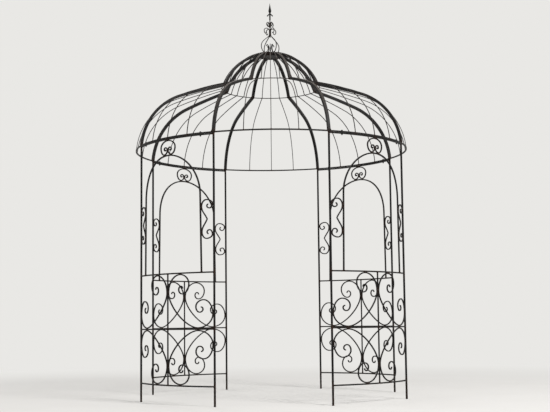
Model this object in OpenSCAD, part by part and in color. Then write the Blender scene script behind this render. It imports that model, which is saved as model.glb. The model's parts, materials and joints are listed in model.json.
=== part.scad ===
// Garden gazebo of bent and welded steel bar: eight posts on a circle, four
// curved panels of scrollwork, four open doorways and an onion dome of ribs,
// rods and hoops with a scrolled finial. Millimetres, +Z up, origin on the
// ground at the middle of the plan. The front doorway faces -Y.

/* [Plan] */
// Radius of the circle that the post centres stand on
plan_r = 1250; // [1100:10:1500]

/* [Posts] */
// Outside diameter of a round post
post_d = 18; // [14:1:24]
// Height of the posts, from the ground to the underside of the dome ring
post_h = 2248; // [2150:2:2600]

/* [Panel rails] */
// Side of the square bar that the rails are bent from
rail_w = 12; // [10:1:16]
// Side of the square bar that stands in the middle of a balustrade
bar_w = 10; // [8:1:12]
// Height of the bottom rail's underside above the ground
foot_clear = 156; // [100:2:220]
// Height of the balustrade, from the bottom rail's underside to the sill's top
balustrade_h = 942; // [800:2:1000]
// Gap between a panel's top rail and the dome ring above it
top_gap = 2; // [1:0.5:6]

/* [Arch] */
// Side of the square bar of the arch
arch_w = 12; // [8:1:14]
// Distance round the panel from a post's centre to the arch leg, at its top
arch_inset = 129; // [115:1:170]
// How much nearer to the post each arch leg stands at its foot
arch_splay = 10; // [0:1:20]
// Depth of the crest ornament between the arch and the top rail
crest_depth = 117; // [100:1:160]

/* [Scrollwork] */
// Side of the square bar that the scrolls are bent from
scroll_w = 10; // [6:1:12]
// Clearance between a scroll and the bar that it is tacked to
tack_gap = 0.3; // [0.2:0.1:0.5]
// Height of a brace scroll beside the arch
brace_h = 322; // [280:2:360]
// Height of the brace scrolls' middle above the sill
brace_rise = 433; // [380:1:460]
// Half the width of the crest ornament
crest_half_w = 93; // [85:1:110]

/* [Dome] */
// Side of the square bar of the dome ring
ring_w = 12; // [10:1:16]
// Side of the square tube of a main rib
rib_w = 25; // [18:1:30]
// Side of the square bar of a thin rod
rod_w = 6; // [5:0.5:8]
// Turn about the middle of the plan from one thin rod of a bay to the next
rod_spread = 10.5; // [9:0.25:12]
// Upright length of a rib between the dome ring and the shoulder bend
rib_stub = 4; // [2:1:20]
// Inward lean of a rib where the shoulder bend starts
rib_lean = 6; // [0:1:10]
// Diameter of the hoop round the neck
hoop_d = 8; // [6:1:12]
// Turn of the shoulder bend, from upright
shoulder_turn = 70; // [62:1:72]
// Turn of the long slope above the shoulder
slope_turn = 6; // [4:1:14]
// Radius of the neck's tight bend, to the middle of a rib
neck_bend_r = 16; // [16:1:40]
// Radius of the bulb on top of the neck
bulb_r = 484; // [420:1:520]
// Height of the bulb's centre above the dome ring
bulb_rise = 437; // [420:1:520]
// Lean of the bulb's foot from upright
bulb_lean = 21; // [14:1:24]

/* [Crown and finial] */
// Radius of the crown plate that the ribs run into
crown_r = 100; // [92:1:120]
// Depth of the crown plate's rim
crown_t = 30; // [28:1:40]
// Distance of the rods' ends, on top of the crown, from the finial's axis
rod_end_r = 36; // [34:1:60]
// Height of the finial above the crown
finial_h = 488; // [400:1:520]
// Diameter of the finial's rod
spear_d = 9; // [8:1:14]
// Widest radius of the finial's cage
cage_r = 101; // [80:1:110]
// Side of the square bar of the finial's scrolls
cage_w = 6; // [5:1:8]

/* [Hidden] */
SIDES = ["front", "right", "back", "left"];
CORNERS = ["front_left", "front_right", "back_right", "back_left"];
POST_NAMES = [
    for (side = SIDES, hand = ["left", "right"])
        str(side, "_door_", hand, "_post")
];
RIB_NAMES = [
    for (side = SIDES, hand = ["left", "right"])
        str(side, "_door_", hand, "_rib")
];
BAY_NAMES = [
    for (k = [0:3], over_door = [true, false])
        str(over_door ? SIDES[k] : CORNERS[(k + 1) % 4], "_rods")
];
PANEL_PARTS = ["rails", "scrolls", "arch", "arch_scrolls"];
paint = "#2b2624";
$fn = 64;

// The eight posts, counted anticlockwise from the front doorway's left one.
bay_turn = 360 / 8;
first_post = 270 - bay_turn / 2;
function post_turn(i) = first_post + bay_turn * i;
// Middle of panel k, counted anticlockwise from the front left one.
function panel_turn(k) = 270 - bay_turn + 2 * bay_turn * k;
per_mm = 180 / (PI * plan_r);
half_bay = bay_turn / 2 / per_mm;

// Heights of the panel's rails.
bottom_z = foot_clear;
sill_z = foot_clear + balustrade_h - rail_w;
mid_z = (bottom_z + sill_z) / 2;
top_z = post_h - top_gap - rail_w;
sill_top = sill_z + rail_w;
ring_top = post_h + ring_w;

// A scroll's centre line keeps this far from the face that it is tacked to.
tack = tack_gap + scroll_w / 2;
post_face = half_bay - post_d / 2;

// ---------------------------------------------------------------- curves

// Points of a cubic curve from p to q with handle points a and b.
function bend(p, a, b, q, steps) = [
    for (i = [1:steps])
        let (t = i / steps, s = 1 - t)
        s * s * s * p + 3 * s * s * t * a + 3 * s * t * t * b + t * t * t * q
];

// A quarter turn from p to q. It leaves p upright if up is true, else level.
// The full value of grip, 0.55, gives a round quarter, and less a flatter one.
function quarter(p, q, up, steps, grip = 0.55) =
    let (d = q - p)
    bend(
        p,
        p + grip * (up ? [0, d[1]] : [d[0], 0]),
        q - grip * (up ? [d[0], 0] : [0, d[1]]),
        q,
        steps
    );

// Mirror of a path about the upright line at 0, and about the level at z.
function across(path) = [for (p = path) [-p[0], p[1]]];
function upside(path, z) = [for (p = path) [p[0], 2 * z - p[1]]];
function backwards(path) = [for (i = [len(path) - 1:-1:0]) path[i]];

function unit(v) = v / norm(v);
// Sideways direction at point i of a path, lengthened so that the bar keeps
// its width round a bend.
function side_step(path, i) =
    let (
        last = len(path) - 1,
        before = unit(path[max(i, 1)] - path[max(i, 1) - 1]),
        after = unit(path[min(i, last - 1) + 1] - path[min(i, last - 1)]),
        along = unit(before + after)
    )
    [-along[1], along[0]] / (along * after);

// The four corners of a square bar at each point of a path of [u, z], where u
// runs round the post circle from the middle of the panel.
function wrapped(path, w) = [
    for (i = [0:len(path) - 1])
        let (n = side_step(path, i) * w / 2)
        for (c = [[-1, -1], [1, -1], [1, 1], [-1, 1]])
            let (p = path[i] + n * c[0], r = plan_r + c[1] * w / 2)
            [r * cos(p[0] * per_mm), r * sin(p[0] * per_mm), p[1]]
];

// Outline of a bar that follows a flat path.
function band(path, w) = [
    for (side = [1, -1])
        let (n = len(path))
        for (i = [0:n - 1])
            let (j = side > 0 ? i : n - 1 - i)
            path[j] + side * side_step(path, j) * w / 2
];

// A square bar bent along a path of [r, z] in the XZ plane.
module upright_bar(path, w) {
    rotate([90, 0, 0])
        translate([0, 0, -w / 2])
            linear_extrude(w)
                polygon(band(path, w));
}

// Skin over rings of four corners, with both ends closed.
module skin(points) {
    rings = len(points) / 4;
    sides = [
        for (i = [0:rings - 2], k = [0:3])
            let (a = 4 * i + k, b = 4 * i + (k + 1) % 4)
            each [[a, b, b + 4], [a, b + 4, a + 4]]
    ];
    last = 4 * (rings - 1);
    ends = [[3, 2, 1, 0], [last, last + 1, last + 2, last + 3]];
    polyhedron(points, concat(sides, ends), convexity = 8);
}

module curved_bar(path, w) {
    skin(wrapped(path, w));
}

// ---------------------------------------------------------------- posts

module post(i) {
    color(paint)
        rotate([0, 0, post_turn(i)])
            translate([plan_r, 0, 0])
                cylinder(d = post_d, h = post_h);
}

// ---------------------------------------------------------------- panels

// A square bar bent round the plan between two posts, its ends shaped to them.
module level_rail(z, w, h) {
    difference() {
        rotate([0, 0, -bay_turn / 2])
            rotate_extrude(angle = bay_turn, $fn = 128)
                translate([plan_r - w / 2, z])
                    square([w, h]);
        for (s = [-1, 1])
            rotate([0, 0, s * bay_turn / 2])
                translate([plan_r, 0, 0])
                    cylinder(d = post_d, h = post_h);
    }
}

module rails(k) {
    color(paint)
        rotate([0, 0, panel_turn(k)]) {
            union() {
                for (z = [bottom_z, mid_z, sill_z])
                    level_rail(z, rail_w, rail_w);
                translate([plan_r - bar_w / 2, -bar_w / 2, bottom_z + rail_w / 2])
                    cube([bar_w, bar_w, sill_z - bottom_z]);
            }
            level_rail(top_z, rail_w, rail_w);
        }
}

// One C scroll of the balustrade: it touches the middle bar, the sill, the
// post and the mid rail, and curls in at both ends.
scroll_lo = [bar_w / 2 + tack, mid_z + rail_w + tack];
scroll_hi = [post_face - tack, sill_z - tack];
function in_field(f) = [
    scroll_lo[0] + f[0] * (scroll_hi[0] - scroll_lo[0]),
    scroll_lo[1] + f[1] * (scroll_hi[1] - scroll_lo[1])
];
c_inner_end = in_field([0.357, 0.735]);
c_inner_top = in_field([0.318, 0.780]);
c_inner_left = in_field([0.264, 0.715]);
c_inner_bottom = in_field([0.350, 0.635]);
c_upper_right = in_field([0.502, 0.820]);
c_sill = in_field([0.301, 1]);
c_bar = in_field([0, 0.662]);
c_mid_rail = in_field([0.697, 0]);
c_post = in_field([1, 0.255]);
c_lower_top = in_field([0.818, 0.518]);
c_lower_left = in_field([0.655, 0.390]);
c_outer_bottom = in_field([0.735, 0.288]);
c_outer_right = in_field([0.803, 0.345]);
c_outer_end = in_field([0.762, 0.385]);
c_scroll = concat(
    [c_inner_end],
    quarter(c_inner_end, c_inner_top, true, 2),
    quarter(c_inner_top, c_inner_left, false, 3),
    quarter(c_inner_left, c_inner_bottom, true, 4),
    quarter(c_inner_bottom, c_upper_right, false, 5),
    quarter(c_upper_right, c_sill, true, 5),
    quarter(c_sill, c_bar, false, 6),
    quarter(c_bar, c_mid_rail, true, 7, 0.36),
    quarter(c_mid_rail, c_post, false, 5),
    quarter(c_post, c_lower_top, true, 5),
    quarter(c_lower_top, c_lower_left, false, 4),
    quarter(c_lower_left, c_outer_bottom, true, 4),
    quarter(c_outer_bottom, c_outer_right, false, 3),
    quarter(c_outer_right, c_outer_end, true, 2)
);

module scrolls(k) {
    low_scroll = upside(c_scroll, mid_z + rail_w / 2);
    color(paint)
        rotate([0, 0, panel_turn(k)])
            for (path = [c_scroll, low_scroll]) {
                curved_bar(path, scroll_w);
                curved_bar(across(path), scroll_w);
            }
}

// The arch is round at the top. Its legs lean out from there and end upright
// on the sill.
leg_u = half_bay - arch_inset;
arch_top_z = top_z - crest_depth - 2 * tack - arch_w / 2;
spring_z = arch_top_z - leg_u;
arch_steps = 24;
leg_rise = spring_z - sill_top - arch_w;
function leg_at(z) =
    leg_u + arch_splay * max(0, min(1, (spring_z - z) / leg_rise));
arch_foot = [for (z = [sill_top, sill_top + arch_w]) [leg_at(z), z]];
arch_path = concat(
    arch_foot,
    [
        for (i = [0:arch_steps])
            let (a = 180 * i / arch_steps)
            [leg_u * cos(a), spring_z + leg_u * sin(a)]
    ],
    backwards(across(arch_foot))
);

module arch(k) {
    color(paint)
        rotate([0, 0, panel_turn(k)])
            curved_bar(arch_path, arch_w);
}

// Height of a strand's centre line where it lies on top of the arch at u.
function on_arch(u) =
    spring_z + sqrt(pow(leg_u + arch_w / 2 + tack, 2) - u * u);

// Crest: one bar whose two strands run down round an oval, along the arch and
// up the middle, and curl outwards inside it.
crest_lo = on_arch(crest_half_w / 2);
crest_hi = top_z - tack;
function in_crest(fu, fz) = [
    scroll_w / 2 + tack_gap + fu * (crest_half_w - scroll_w / 2 - tack_gap),
    crest_lo + fz * (crest_hi - crest_lo)
];
crest_mid = [0, crest_hi];
crest_side = in_crest(1, 0.50);
crest_foot = in_crest(0.46, 0);
crest_meet = in_crest(0, 0.30);
crest_curl_top = in_crest(0.27, 0.51);
crest_curl_side = in_crest(0.46, 0.39);
crest_curl_foot = in_crest(0.34, 0.29);
crest_end = in_crest(0.25, 0.36);
crest_strand = concat(
    quarter(crest_mid, crest_side, false, 6),
    quarter(crest_side, crest_foot, true, 5),
    quarter(crest_foot, crest_meet, false, 4),
    quarter(crest_meet, crest_curl_top, true, 4),
    quarter(crest_curl_top, crest_curl_side, false, 3),
    quarter(crest_curl_side, crest_curl_foot, true, 3),
    quarter(crest_curl_foot, crest_end, false, 2)
);
crest_path = concat(
    backwards(across(crest_strand)),
    [crest_mid],
    crest_strand
);

// Brace between an arch leg and a post: two hooks joined by a V that points
// to the post.
brace_z = sill_top + brace_rise;
brace_hi = post_face - tack;
function in_brace(fu, fz) =
    let (
        z = brace_z + fz * brace_h / 2,
        lo = leg_at(z) + arch_w / 2 + tack
    )
    [lo + fu * (brace_hi - lo), z];
brace_tip = in_brace(0.52, 0);
// The upper hook if s is 1, the lower one if it is -1.
function brace_hook(s) =
    let (
        leg = in_brace(0, 0.66 * s),
        end = in_brace(0.45, s),
        post = in_brace(1, 0.79 * s),
        curl_foot = in_brace(0.74, 0.56 * s),
        curl_side = in_brace(0.50, 0.67 * s)
    )
    concat(
        bend(
            brace_tip,
            brace_tip + 0.45 * (leg - brace_tip),
            leg - [0, 0.4 * (leg - brace_tip)[1]],
            leg,
            4
        ),
        quarter(leg, end, true, 4),
        quarter(end, post, false, 4),
        quarter(post, curl_foot, true, 4),
        quarter(curl_foot, curl_side, false, 3),
        quarter(curl_side, in_brace(0.62, 0.76 * s), true, 2)
    );
brace_path = concat(
    backwards(brace_hook(-1)),
    [brace_tip],
    brace_hook(1)
);

module arch_scrolls(k) {
    color(paint)
        rotate([0, 0, panel_turn(k)]) {
            curved_bar(crest_path, scroll_w);
            curved_bar(brace_path, scroll_w);
            curved_bar(across(brace_path), scroll_w);
        }
}

// ---------------------------------------------------------------- dome

// A rib or rod stands upright on the dome ring and then follows four arcs: the
// shoulder, the slope, the neck's tight bend the other way, and the bulb. The
// shoulder and slope radii are the two that carry the line from the dome ring
// to the neck. Headings are angles from outwards. The rods' bulb is lifted a
// little, so that they pass over the crown.
function toward(a) = [cos(a), sin(a)];
function arc(mid, r, a, b, steps) = [
    for (i = [1:steps]) mid + r * toward(a + (b - a) * i / steps)
];
rod_lift = rib_w / 2 + rod_w / 2 + 3 * tack_gap;
dome_foot = [plan_r, ring_top + rib_stub];
h0 = 90 + rib_lean;
h1 = 90 + shoulder_turn;
h2 = h1 + slope_turn;
m11 = sin(h1) - sin(h0);
m12 = sin(h2) - sin(h1);
m21 = cos(h0) - cos(h1);
m22 = cos(h1) - cos(h2);
det = m11 * m22 - m12 * m21;
function bulb_mid(lift) = [0, ring_top + bulb_rise + lift];
function foot_lean(lift) = asin(sin(bulb_lean) - lift / bulb_r);
function neck_mid(lift) =
    bulb_mid(lift) + (bulb_r + neck_bend_r) * toward(foot_lean(lift));
function dome_path(lift, end_r) =
    let (
        bend_mid = neck_mid(lift),
        run = bend_mid + neck_bend_r * toward(h2 + 90) - dome_foot,
        shoulder_r = (run[0] * m22 - m12 * run[1]) / det,
        slope_r = (m11 * run[1] - m21 * run[0]) / det,
        shoulder_mid = dome_foot - shoulder_r * toward(rib_lean),
        slope_mid = shoulder_mid + (shoulder_r - slope_r) * toward(shoulder_turn),
        lean = foot_lean(lift)
    )
    concat(
        [[plan_r, ring_top], dome_foot],
        arc(shoulder_mid, shoulder_r, rib_lean, shoulder_turn, 20),
        arc(slope_mid, slope_r, shoulder_turn, h2 - 90, 10),
        arc(bend_mid, neck_bend_r, h2 + 90, 180 + lean, 6),
        arc(bulb_mid(lift), bulb_r, lean, acos(end_r / bulb_r), 24)
    );
bulb_face = bulb_r + rib_w / 2;
bulb_z = bulb_mid(0)[1];
crown_z = bulb_z + sqrt(pow(bulb_r, 2) - pow(crown_r, 2)) - crown_t / 2;

// The dome ring is eight bent bars whose ends meet over the posts.
module dome_ring() {
    joint_turn = tack_gap * per_mm;
    color(paint)
        for (i = [0:7])
            rotate([0, 0, post_turn(i) + joint_turn / 2])
                rotate_extrude(angle = bay_turn - joint_turn, $fn = 128)
                    translate([plan_r - ring_w / 2, post_h])
                        square(ring_w);
}

// A rib's end is trimmed to the crown's rim.
module rib(i) {
    color(paint)
        rotate([0, 0, post_turn(i)])
            difference() {
                upright_bar(dome_path(0, crown_r - rib_w), rib_w);
                translate([0, 0, crown_z - crown_t])
                    cylinder(r = crown_r, h = 3 * crown_t);
            }
}

// Three thin rods fill each bay, the middle one halfway between two ribs.
module rods(i) {
    color(paint)
        for (n = [-1:1])
            rotate([0, 0, post_turn(i) + bay_turn / 2 + rod_spread * n])
                upright_bar(dome_path(rod_lift, rod_end_r), rod_w);
}

// The hoop runs under the rods in the crook of the neck, in a length between
// each two ribs.
hoop_reach = neck_bend_r + rod_w / 2 + tack_gap + hoop_d / 2;
hoop_turn = (h2 + 90 + 180 + foot_lean(rod_lift)) / 2;
hoop = neck_mid(rod_lift) + hoop_reach * toward(hoop_turn);
module neck_hoop() {
    color(paint)
        difference() {
            rotate_extrude($fn = 128)
                translate(hoop)
                    circle(d = hoop_d);
            for (i = [0:7])
                rotate([0, 0, post_turn(i)])
                    translate([0, -rib_w / 2, hoop[1] - hoop_d])
                        cube([plan_r, rib_w, 2 * hoop_d]);
        }
}

// The crown is a plate whose top follows the bulb's outer face.
module crown() {
    color(paint)
        intersection() {
            translate([0, 0, crown_z])
                cylinder(r = crown_r, h = 2 * crown_t);
            translate([0, 0, bulb_z])
                sphere(r = bulb_face, $fn = 128);
        }
}

// ---------------------------------------------------------------- finial

// Places in the finial: f is a share of its height above the crown's top, and
// q a share of the cage's widest radius.
finial_z = bulb_z + bulb_face;
function up_finial(f) = finial_z + f * finial_h;
function in_finial(q, f) = [q * cage_r, up_finial(f)];

// The four arms are over the first rod of every other bay.
cage_turn = bay_turn - rod_spread;
collar_r = spear_d / 2 + 7;
collar_h = 12;
bud_r = 6.5;
bud_neck_r = 3.5;
knob_r = spear_d / 2 + 1.5;
socket_r = spear_d / 2 + 2.5;
spear_wide = 14;
barb_span = 30;
barb_t = 5;
// Smallest radius at a turned tip, so that it isn't a needle
tip_r = 1;

// A turned bud stands on the crown. Above it the cage's arms carry the spear,
// with a knob under its rod and a socket under its head.
module finial_spear() {
    color(paint) {
        rotate_extrude()
            polygon([
                [0, finial_z],
                [collar_r, finial_z],
                [collar_r, finial_z + collar_h],
                [bud_r, finial_z + collar_h],
                [bud_r, up_finial(0.118)],
                [bud_neck_r, up_finial(0.140)],
                [bud_neck_r, up_finial(0.186)],
                [tip_r, up_finial(0.205)],
                [0, up_finial(0.205)]
            ]);
        rotate_extrude()
            polygon([
                [0, up_finial(0.315)],
                [knob_r / 2, up_finial(0.315)],
                [knob_r, up_finial(0.326)],
                [knob_r, up_finial(0.334)],
                [spear_d / 2, up_finial(0.348)],
                [spear_d / 2, up_finial(0.652)],
                [socket_r, up_finial(0.668)],
                [socket_r, up_finial(0.799)],
                [spear_wide, up_finial(0.838)],
                [spear_wide * 0.55, up_finial(0.911)],
                [tip_r, up_finial(1)],
                [0, up_finial(1)]
            ]);
        for (a = [0, 90])
            rotate([90, 0, a])
                translate([0, 0, -barb_t / 2])
                    linear_extrude(barb_t)
                        polygon([
                            [0, up_finial(0.808)],
                            [-barb_span, up_finial(0.747)],
                            [-0.8 * barb_span, up_finial(0.731)],
                            [0, up_finial(0.776)],
                            [0.8 * barb_span, up_finial(0.731)],
                            [barb_span, up_finial(0.747)]
                        ]);
    }
}

// Each of the four arms stands on one of the dome's rods. It rises as the side
// of the cage, runs up the spear's rod and droops outwards in a plume. A leaf
// of the same bar is tacked to the rod above it.
rod_face = spear_d / 2 + tack_gap;
rod_line = rod_face + cage_w / 2;
cage_foot_r = 0.62 * cage_r;
cage_seat = bulb_r + rod_w / 2 + tack_gap + cage_w / 2;
cage_foot = [
    cage_foot_r,
    bulb_mid(rod_lift)[1] + sqrt(pow(cage_seat, 2) - pow(cage_foot_r, 2))
];
cage_end = in_finial(0.42, 0.138);
cage_curl_top = in_finial(0.33, 0.172);
cage_curl_side = in_finial(0.21, 0.123);
cage_side = in_finial(1, 0.135);
cage_top = [rod_line, up_finial(0.375)];
plume_foot = [rod_line, up_finial(0.455)];
plume_top = in_finial(0.38, 0.493);
plume_side = in_finial(0.66, 0.438);
plume_curl_foot = in_finial(0.49, 0.390);
plume_end = in_finial(0.38, 0.413);
cage_path = concat(
    [cage_end],
    quarter(cage_end, cage_curl_top, true, 2),
    quarter(cage_curl_top, cage_curl_side, false, 3),
    quarter(cage_curl_side, cage_foot, true, 5),
    quarter(cage_foot, cage_side, false, 6),
    bend(
        cage_side,
        in_finial(1, 0.25),
        [rod_line, up_finial(0.315)],
        cage_top,
        7
    ),
    [plume_foot],
    quarter(plume_foot, plume_top, true, 4),
    quarter(plume_top, plume_side, false, 5),
    quarter(plume_side, plume_curl_foot, true, 4),
    quarter(plume_curl_foot, plume_end, false, 2)
);
leaf_foot = [rod_line, up_finial(0.520)];
leaf_bend = [rod_line, up_finial(0.580)];
leaf_top = in_finial(0.23, 0.612);
leaf_side = in_finial(0.38, 0.575);
leaf_curl_foot = in_finial(0.29, 0.545);
leaf_end = in_finial(0.21, 0.563);
leaf_path = concat(
    [leaf_foot, leaf_bend],
    quarter(leaf_bend, leaf_top, true, 3),
    quarter(leaf_top, leaf_side, false, 4),
    quarter(leaf_side, leaf_curl_foot, true, 3),
    quarter(leaf_curl_foot, leaf_end, false, 2)
);

module finial_scrolls() {
    color(paint)
        for (arm = [0:3])
            rotate([0, 0, cage_turn + 90 * arm]) {
                upright_bar(cage_path, cage_w);
                upright_bar(leaf_path, cage_w);
            }
}

// ---------------------------------------------------------------- nodes

for (i = [0:7]) {
    post(i);
    rib(i);
    rods(i);
}
for (k = [0:3]) {
    rails(k);
    scrolls(k);
    arch(k);
    arch_scrolls(k);
}
dome_ring();
neck_hoop();
crown();
finial_spear();
finial_scrolls();
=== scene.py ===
import json
import math
import bpy
from mathutils import Matrix, Vector
from mathutils.geometry import interpolate_bezier
from mathutils.kdtree import KDTree

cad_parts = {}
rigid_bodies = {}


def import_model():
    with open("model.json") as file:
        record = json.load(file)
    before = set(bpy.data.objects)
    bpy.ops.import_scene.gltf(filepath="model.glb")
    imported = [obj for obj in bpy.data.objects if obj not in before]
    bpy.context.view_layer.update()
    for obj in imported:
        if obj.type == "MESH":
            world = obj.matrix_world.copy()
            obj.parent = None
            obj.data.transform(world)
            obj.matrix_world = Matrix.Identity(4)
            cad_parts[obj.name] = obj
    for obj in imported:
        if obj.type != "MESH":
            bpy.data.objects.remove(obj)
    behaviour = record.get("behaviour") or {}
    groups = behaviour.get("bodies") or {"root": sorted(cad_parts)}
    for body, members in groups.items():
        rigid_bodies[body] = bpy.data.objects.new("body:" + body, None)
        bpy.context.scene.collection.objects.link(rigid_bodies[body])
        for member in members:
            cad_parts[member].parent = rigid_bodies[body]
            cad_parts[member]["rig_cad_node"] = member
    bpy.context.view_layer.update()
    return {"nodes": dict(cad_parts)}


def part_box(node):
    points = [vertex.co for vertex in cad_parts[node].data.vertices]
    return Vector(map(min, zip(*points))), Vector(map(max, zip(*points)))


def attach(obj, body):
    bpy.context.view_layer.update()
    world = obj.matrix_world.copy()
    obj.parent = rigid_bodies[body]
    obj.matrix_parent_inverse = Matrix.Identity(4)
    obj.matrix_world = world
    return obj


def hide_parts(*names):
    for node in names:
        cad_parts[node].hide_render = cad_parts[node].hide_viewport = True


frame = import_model()
scene = bpy.context.scene
scene.view_settings.view_transform = "Standard"

# --------------------------------------------------------------------- view
# The gazebo is seen from the lawn in front of its doorway, from the height of
# a knee, looking slightly up at the dome.
STANDPOINT = (-0.0031, -10.2438, 0.679)
ASIDE, UPWARD, TILTED = -0.0031, 0.10417, -0.011
lawn_view = bpy.data.cameras.new("lawn_view")
lawn_view.sensor_width = 36
lawn_view.lens = 72.6
camera = bpy.data.objects.new("lawn_view", lawn_view)
camera.matrix_world = (
    Matrix.Translation(STANDPOINT)
    @ Matrix.Rotation(ASIDE, 4, "Z")
    @ Matrix.Rotation(math.pi / 2 + UPWARD, 4, "X")
    @ Matrix.Rotation(TILTED, 4, "Z")
)
scene.collection.objects.link(camera)
scene.camera = camera

# -------------------------------------------------------------------- posts
# Eight lengths of round steel tube, 18 mm across, that stand on the lawn on
# their plain cut ends. They were dipped in satin enamel after welding, which
# has gone rusty at the rails' welds and where the foot stands in wet grass.


def linear(code):
    """Linear colour of an sRGB hex value."""
    parts = [int(code[i : i + 2], 16) / 255 for i in (1, 3, 5)]
    return [p / 12.92 if p < 0.04045 else ((p + 0.055) / 1.055) ** 2.4 for p in parts] + [1]


def add(tree, kind, inputs=None, **settings):
    """Adds a node with its settings. An input is a value, a socket to link, or
    a node, whose first output in use is linked. Sockets that share a name with
    another go by number, as in a mix: 0 the share, 2 and 3 numbers, or 6 and 7
    colours. In a map range 1 and 2 are the ends it reads, 3 and 4 it gives."""
    node = tree.nodes.new(kind)
    for name, value in settings.items():
        setattr(node, name, value)
    for key, value in (inputs or {}).items():
        if isinstance(value, bpy.types.Node):
            value = next(output for output in value.outputs if output.enabled)
        if isinstance(value, bpy.types.NodeSocket):
            tree.links.new(value, node.inputs[key])
        else:
            node.inputs[key].default_value = value
    return node


def enamelled_steel(name, dark, pale, rusty, rust_bands=(), chips=0.70, dust_and_painted_light=0.5):
    """Satin enamel on mild steel. Thin coats and hand work leave a soft orange
    peel, patches a shade lighter, worn edges and rust where it was welded."""
    enamel = bpy.data.materials.new(name)
    enamel.use_nodes = True
    tree = enamel.node_tree
    tree.nodes.clear()

    # Five cloudy patterns, by the size of their spots in metres: patches of
    # thicker paint, runs and brush marks in them, blotches of dust and painted
    # light, grains of rust, and orange peel. The peel is 1 to 2 mm across on the
    # real thing, and is drawn at 4 mm so that it shows.
    place = add(tree, "ShaderNodeTexCoord").outputs["Object"]
    patches, runs, blotches, grains, peel = [
        add(tree, "ShaderNodeTexNoise", {"Vector": place, "Scale": 1 / size, "Detail": detail})
        for size, detail in ((0.25, 2), (0.02, 4), (0.03, 3), (0.008, 5), (0.004, 2))
    ]
    thickness = add(tree, "ShaderNodeMix", {0: 0.45, 2: patches, 3: runs})
    paler = add(tree, "ShaderNodeMapRange", {0: thickness, 1: 0.38, 2: 0.62})

    # Dust and lichen film lie in blotches on what faces up. The same pale coat is
    # painted light: it lightens upward faces as if lit from above, most on the
    # dome and the rods.
    facing = add(tree, "ShaderNodeNewGeometry").outputs["Normal"]
    upward = add(tree, "ShaderNodeSeparateXYZ", {0: facing}).outputs["Z"]
    lying = add(tree, "ShaderNodeMapRange", {0: upward, 1: 0.25, 2: 1.0, 4: dust_and_painted_light})
    dust_and_painted_light_share = add(tree, "ShaderNodeMath", {0: lying, 1: blotches}, operation="MULTIPLY")

    # Paint is thinnest along a bar's edges, where brown primer grins through.
    edge = add(tree, "ShaderNodeAttribute", attribute_name="bar_edge").outputs["Fac"]
    thin = add(tree, "ShaderNodeMapRange", {0: edge, 1: 0.55, 2: 0.95, 4: 1.0})
    rubbed = add(tree, "ShaderNodeMapRange", {0: runs, 1: 0.42, 2: 0.66, 4: 0.8})
    worn = add(tree, "ShaderNodeMath", {0: thin, 1: rubbed}, operation="MULTIPLY")

    # Rust: round the welds, in bands at the given heights, and in small chips.
    burnt = add(tree, "ShaderNodeAttribute", attribute_name="weld_rust").outputs["Fac"]
    height = add(tree, "ShaderNodeSeparateXYZ", {0: place}).outputs["Z"]
    for low, middle, high in rust_bands:
        rise, fall = [
            add(tree, "ShaderNodeMapRange", {0: height, 1: end, 2: middle}) for end in (low, high)
        ]
        band = add(tree, "ShaderNodeMath", {0: rise, 1: fall}, operation="MINIMUM")
        burnt = add(tree, "ShaderNodeMath", {0: burnt, 1: band}, operation="MAXIMUM")
    broken = add(tree, "ShaderNodeMapRange", {0: grains, 1: 0.40, 2: 0.58})
    burnt = add(tree, "ShaderNodeMath", {0: burnt, 1: broken}, operation="MULTIPLY")
    chip = add(tree, "ShaderNodeMapRange", {0: grains, 1: chips, 2: chips + 0.04, 4: 0.8})
    rust = add(tree, "ShaderNodeMath", {0: burnt, 1: chip}, operation="MAXIMUM")
    rust_shades = {0: runs, 6: linear(rusty), 7: linear("#452f22")}
    rust_shade = add(tree, "ShaderNodeMix", rust_shades, data_type="RGBA")

    # The coats from the dark paint up, each over its share of the surface.
    colour = linear(dark)
    for share, coat in (
        (paler, linear(pale)),
        # The pale grey of dust, which is also painted light on upward faces.
        (dust_and_painted_light_share, linear("#605a55")),
        (worn, linear("#2b221d")),
        (rust, rust_shade),
    ):
        colour = add(tree, "ShaderNodeMix", {0: share, 6: colour, 7: coat}, data_type="RGBA")

    # Satin where the paint is sound, and matt under rust and under the pale coat
    # of dust and painted light.
    satin = add(tree, "ShaderNodeMapRange", {0: thickness, 1: 0.35, 2: 0.65, 3: 0.40, 4: 0.58})
    dull = add(tree, "ShaderNodeMath", {0: rust, 1: dust_and_painted_light_share}, operation="MAXIMUM")
    roughness = add(tree, "ShaderNodeMix", {0: dull, 2: satin, 3: 0.88})

    # The surface rises with the peel, and twice as much with gritty rust. Years
    # outdoors have dulled the enamel, which mirrors less than when it was new.
    grit = add(tree, "ShaderNodeMath", {0: grains, 1: rust}, operation="MULTIPLY")
    rises = {0: grit, 1: 2.0, 2: peel}
    relief = add(tree, "ShaderNodeMath", rises, operation="MULTIPLY_ADD")
    bump = add(tree, "ShaderNodeBump", {"Strength": 0.35, "Distance": 0.0004, "Height": relief})
    shader = add(
        tree,
        "ShaderNodeBsdfPrincipled",
        {
            "Base Color": colour,
            "Roughness": roughness,
            "Normal": bump,
            "IOR": 1.5,
            "Specular IOR Level": 0.15,
        },
    )
    add(tree, "ShaderNodeOutputMaterial", {"Surface": shader})
    return enamel


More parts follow.
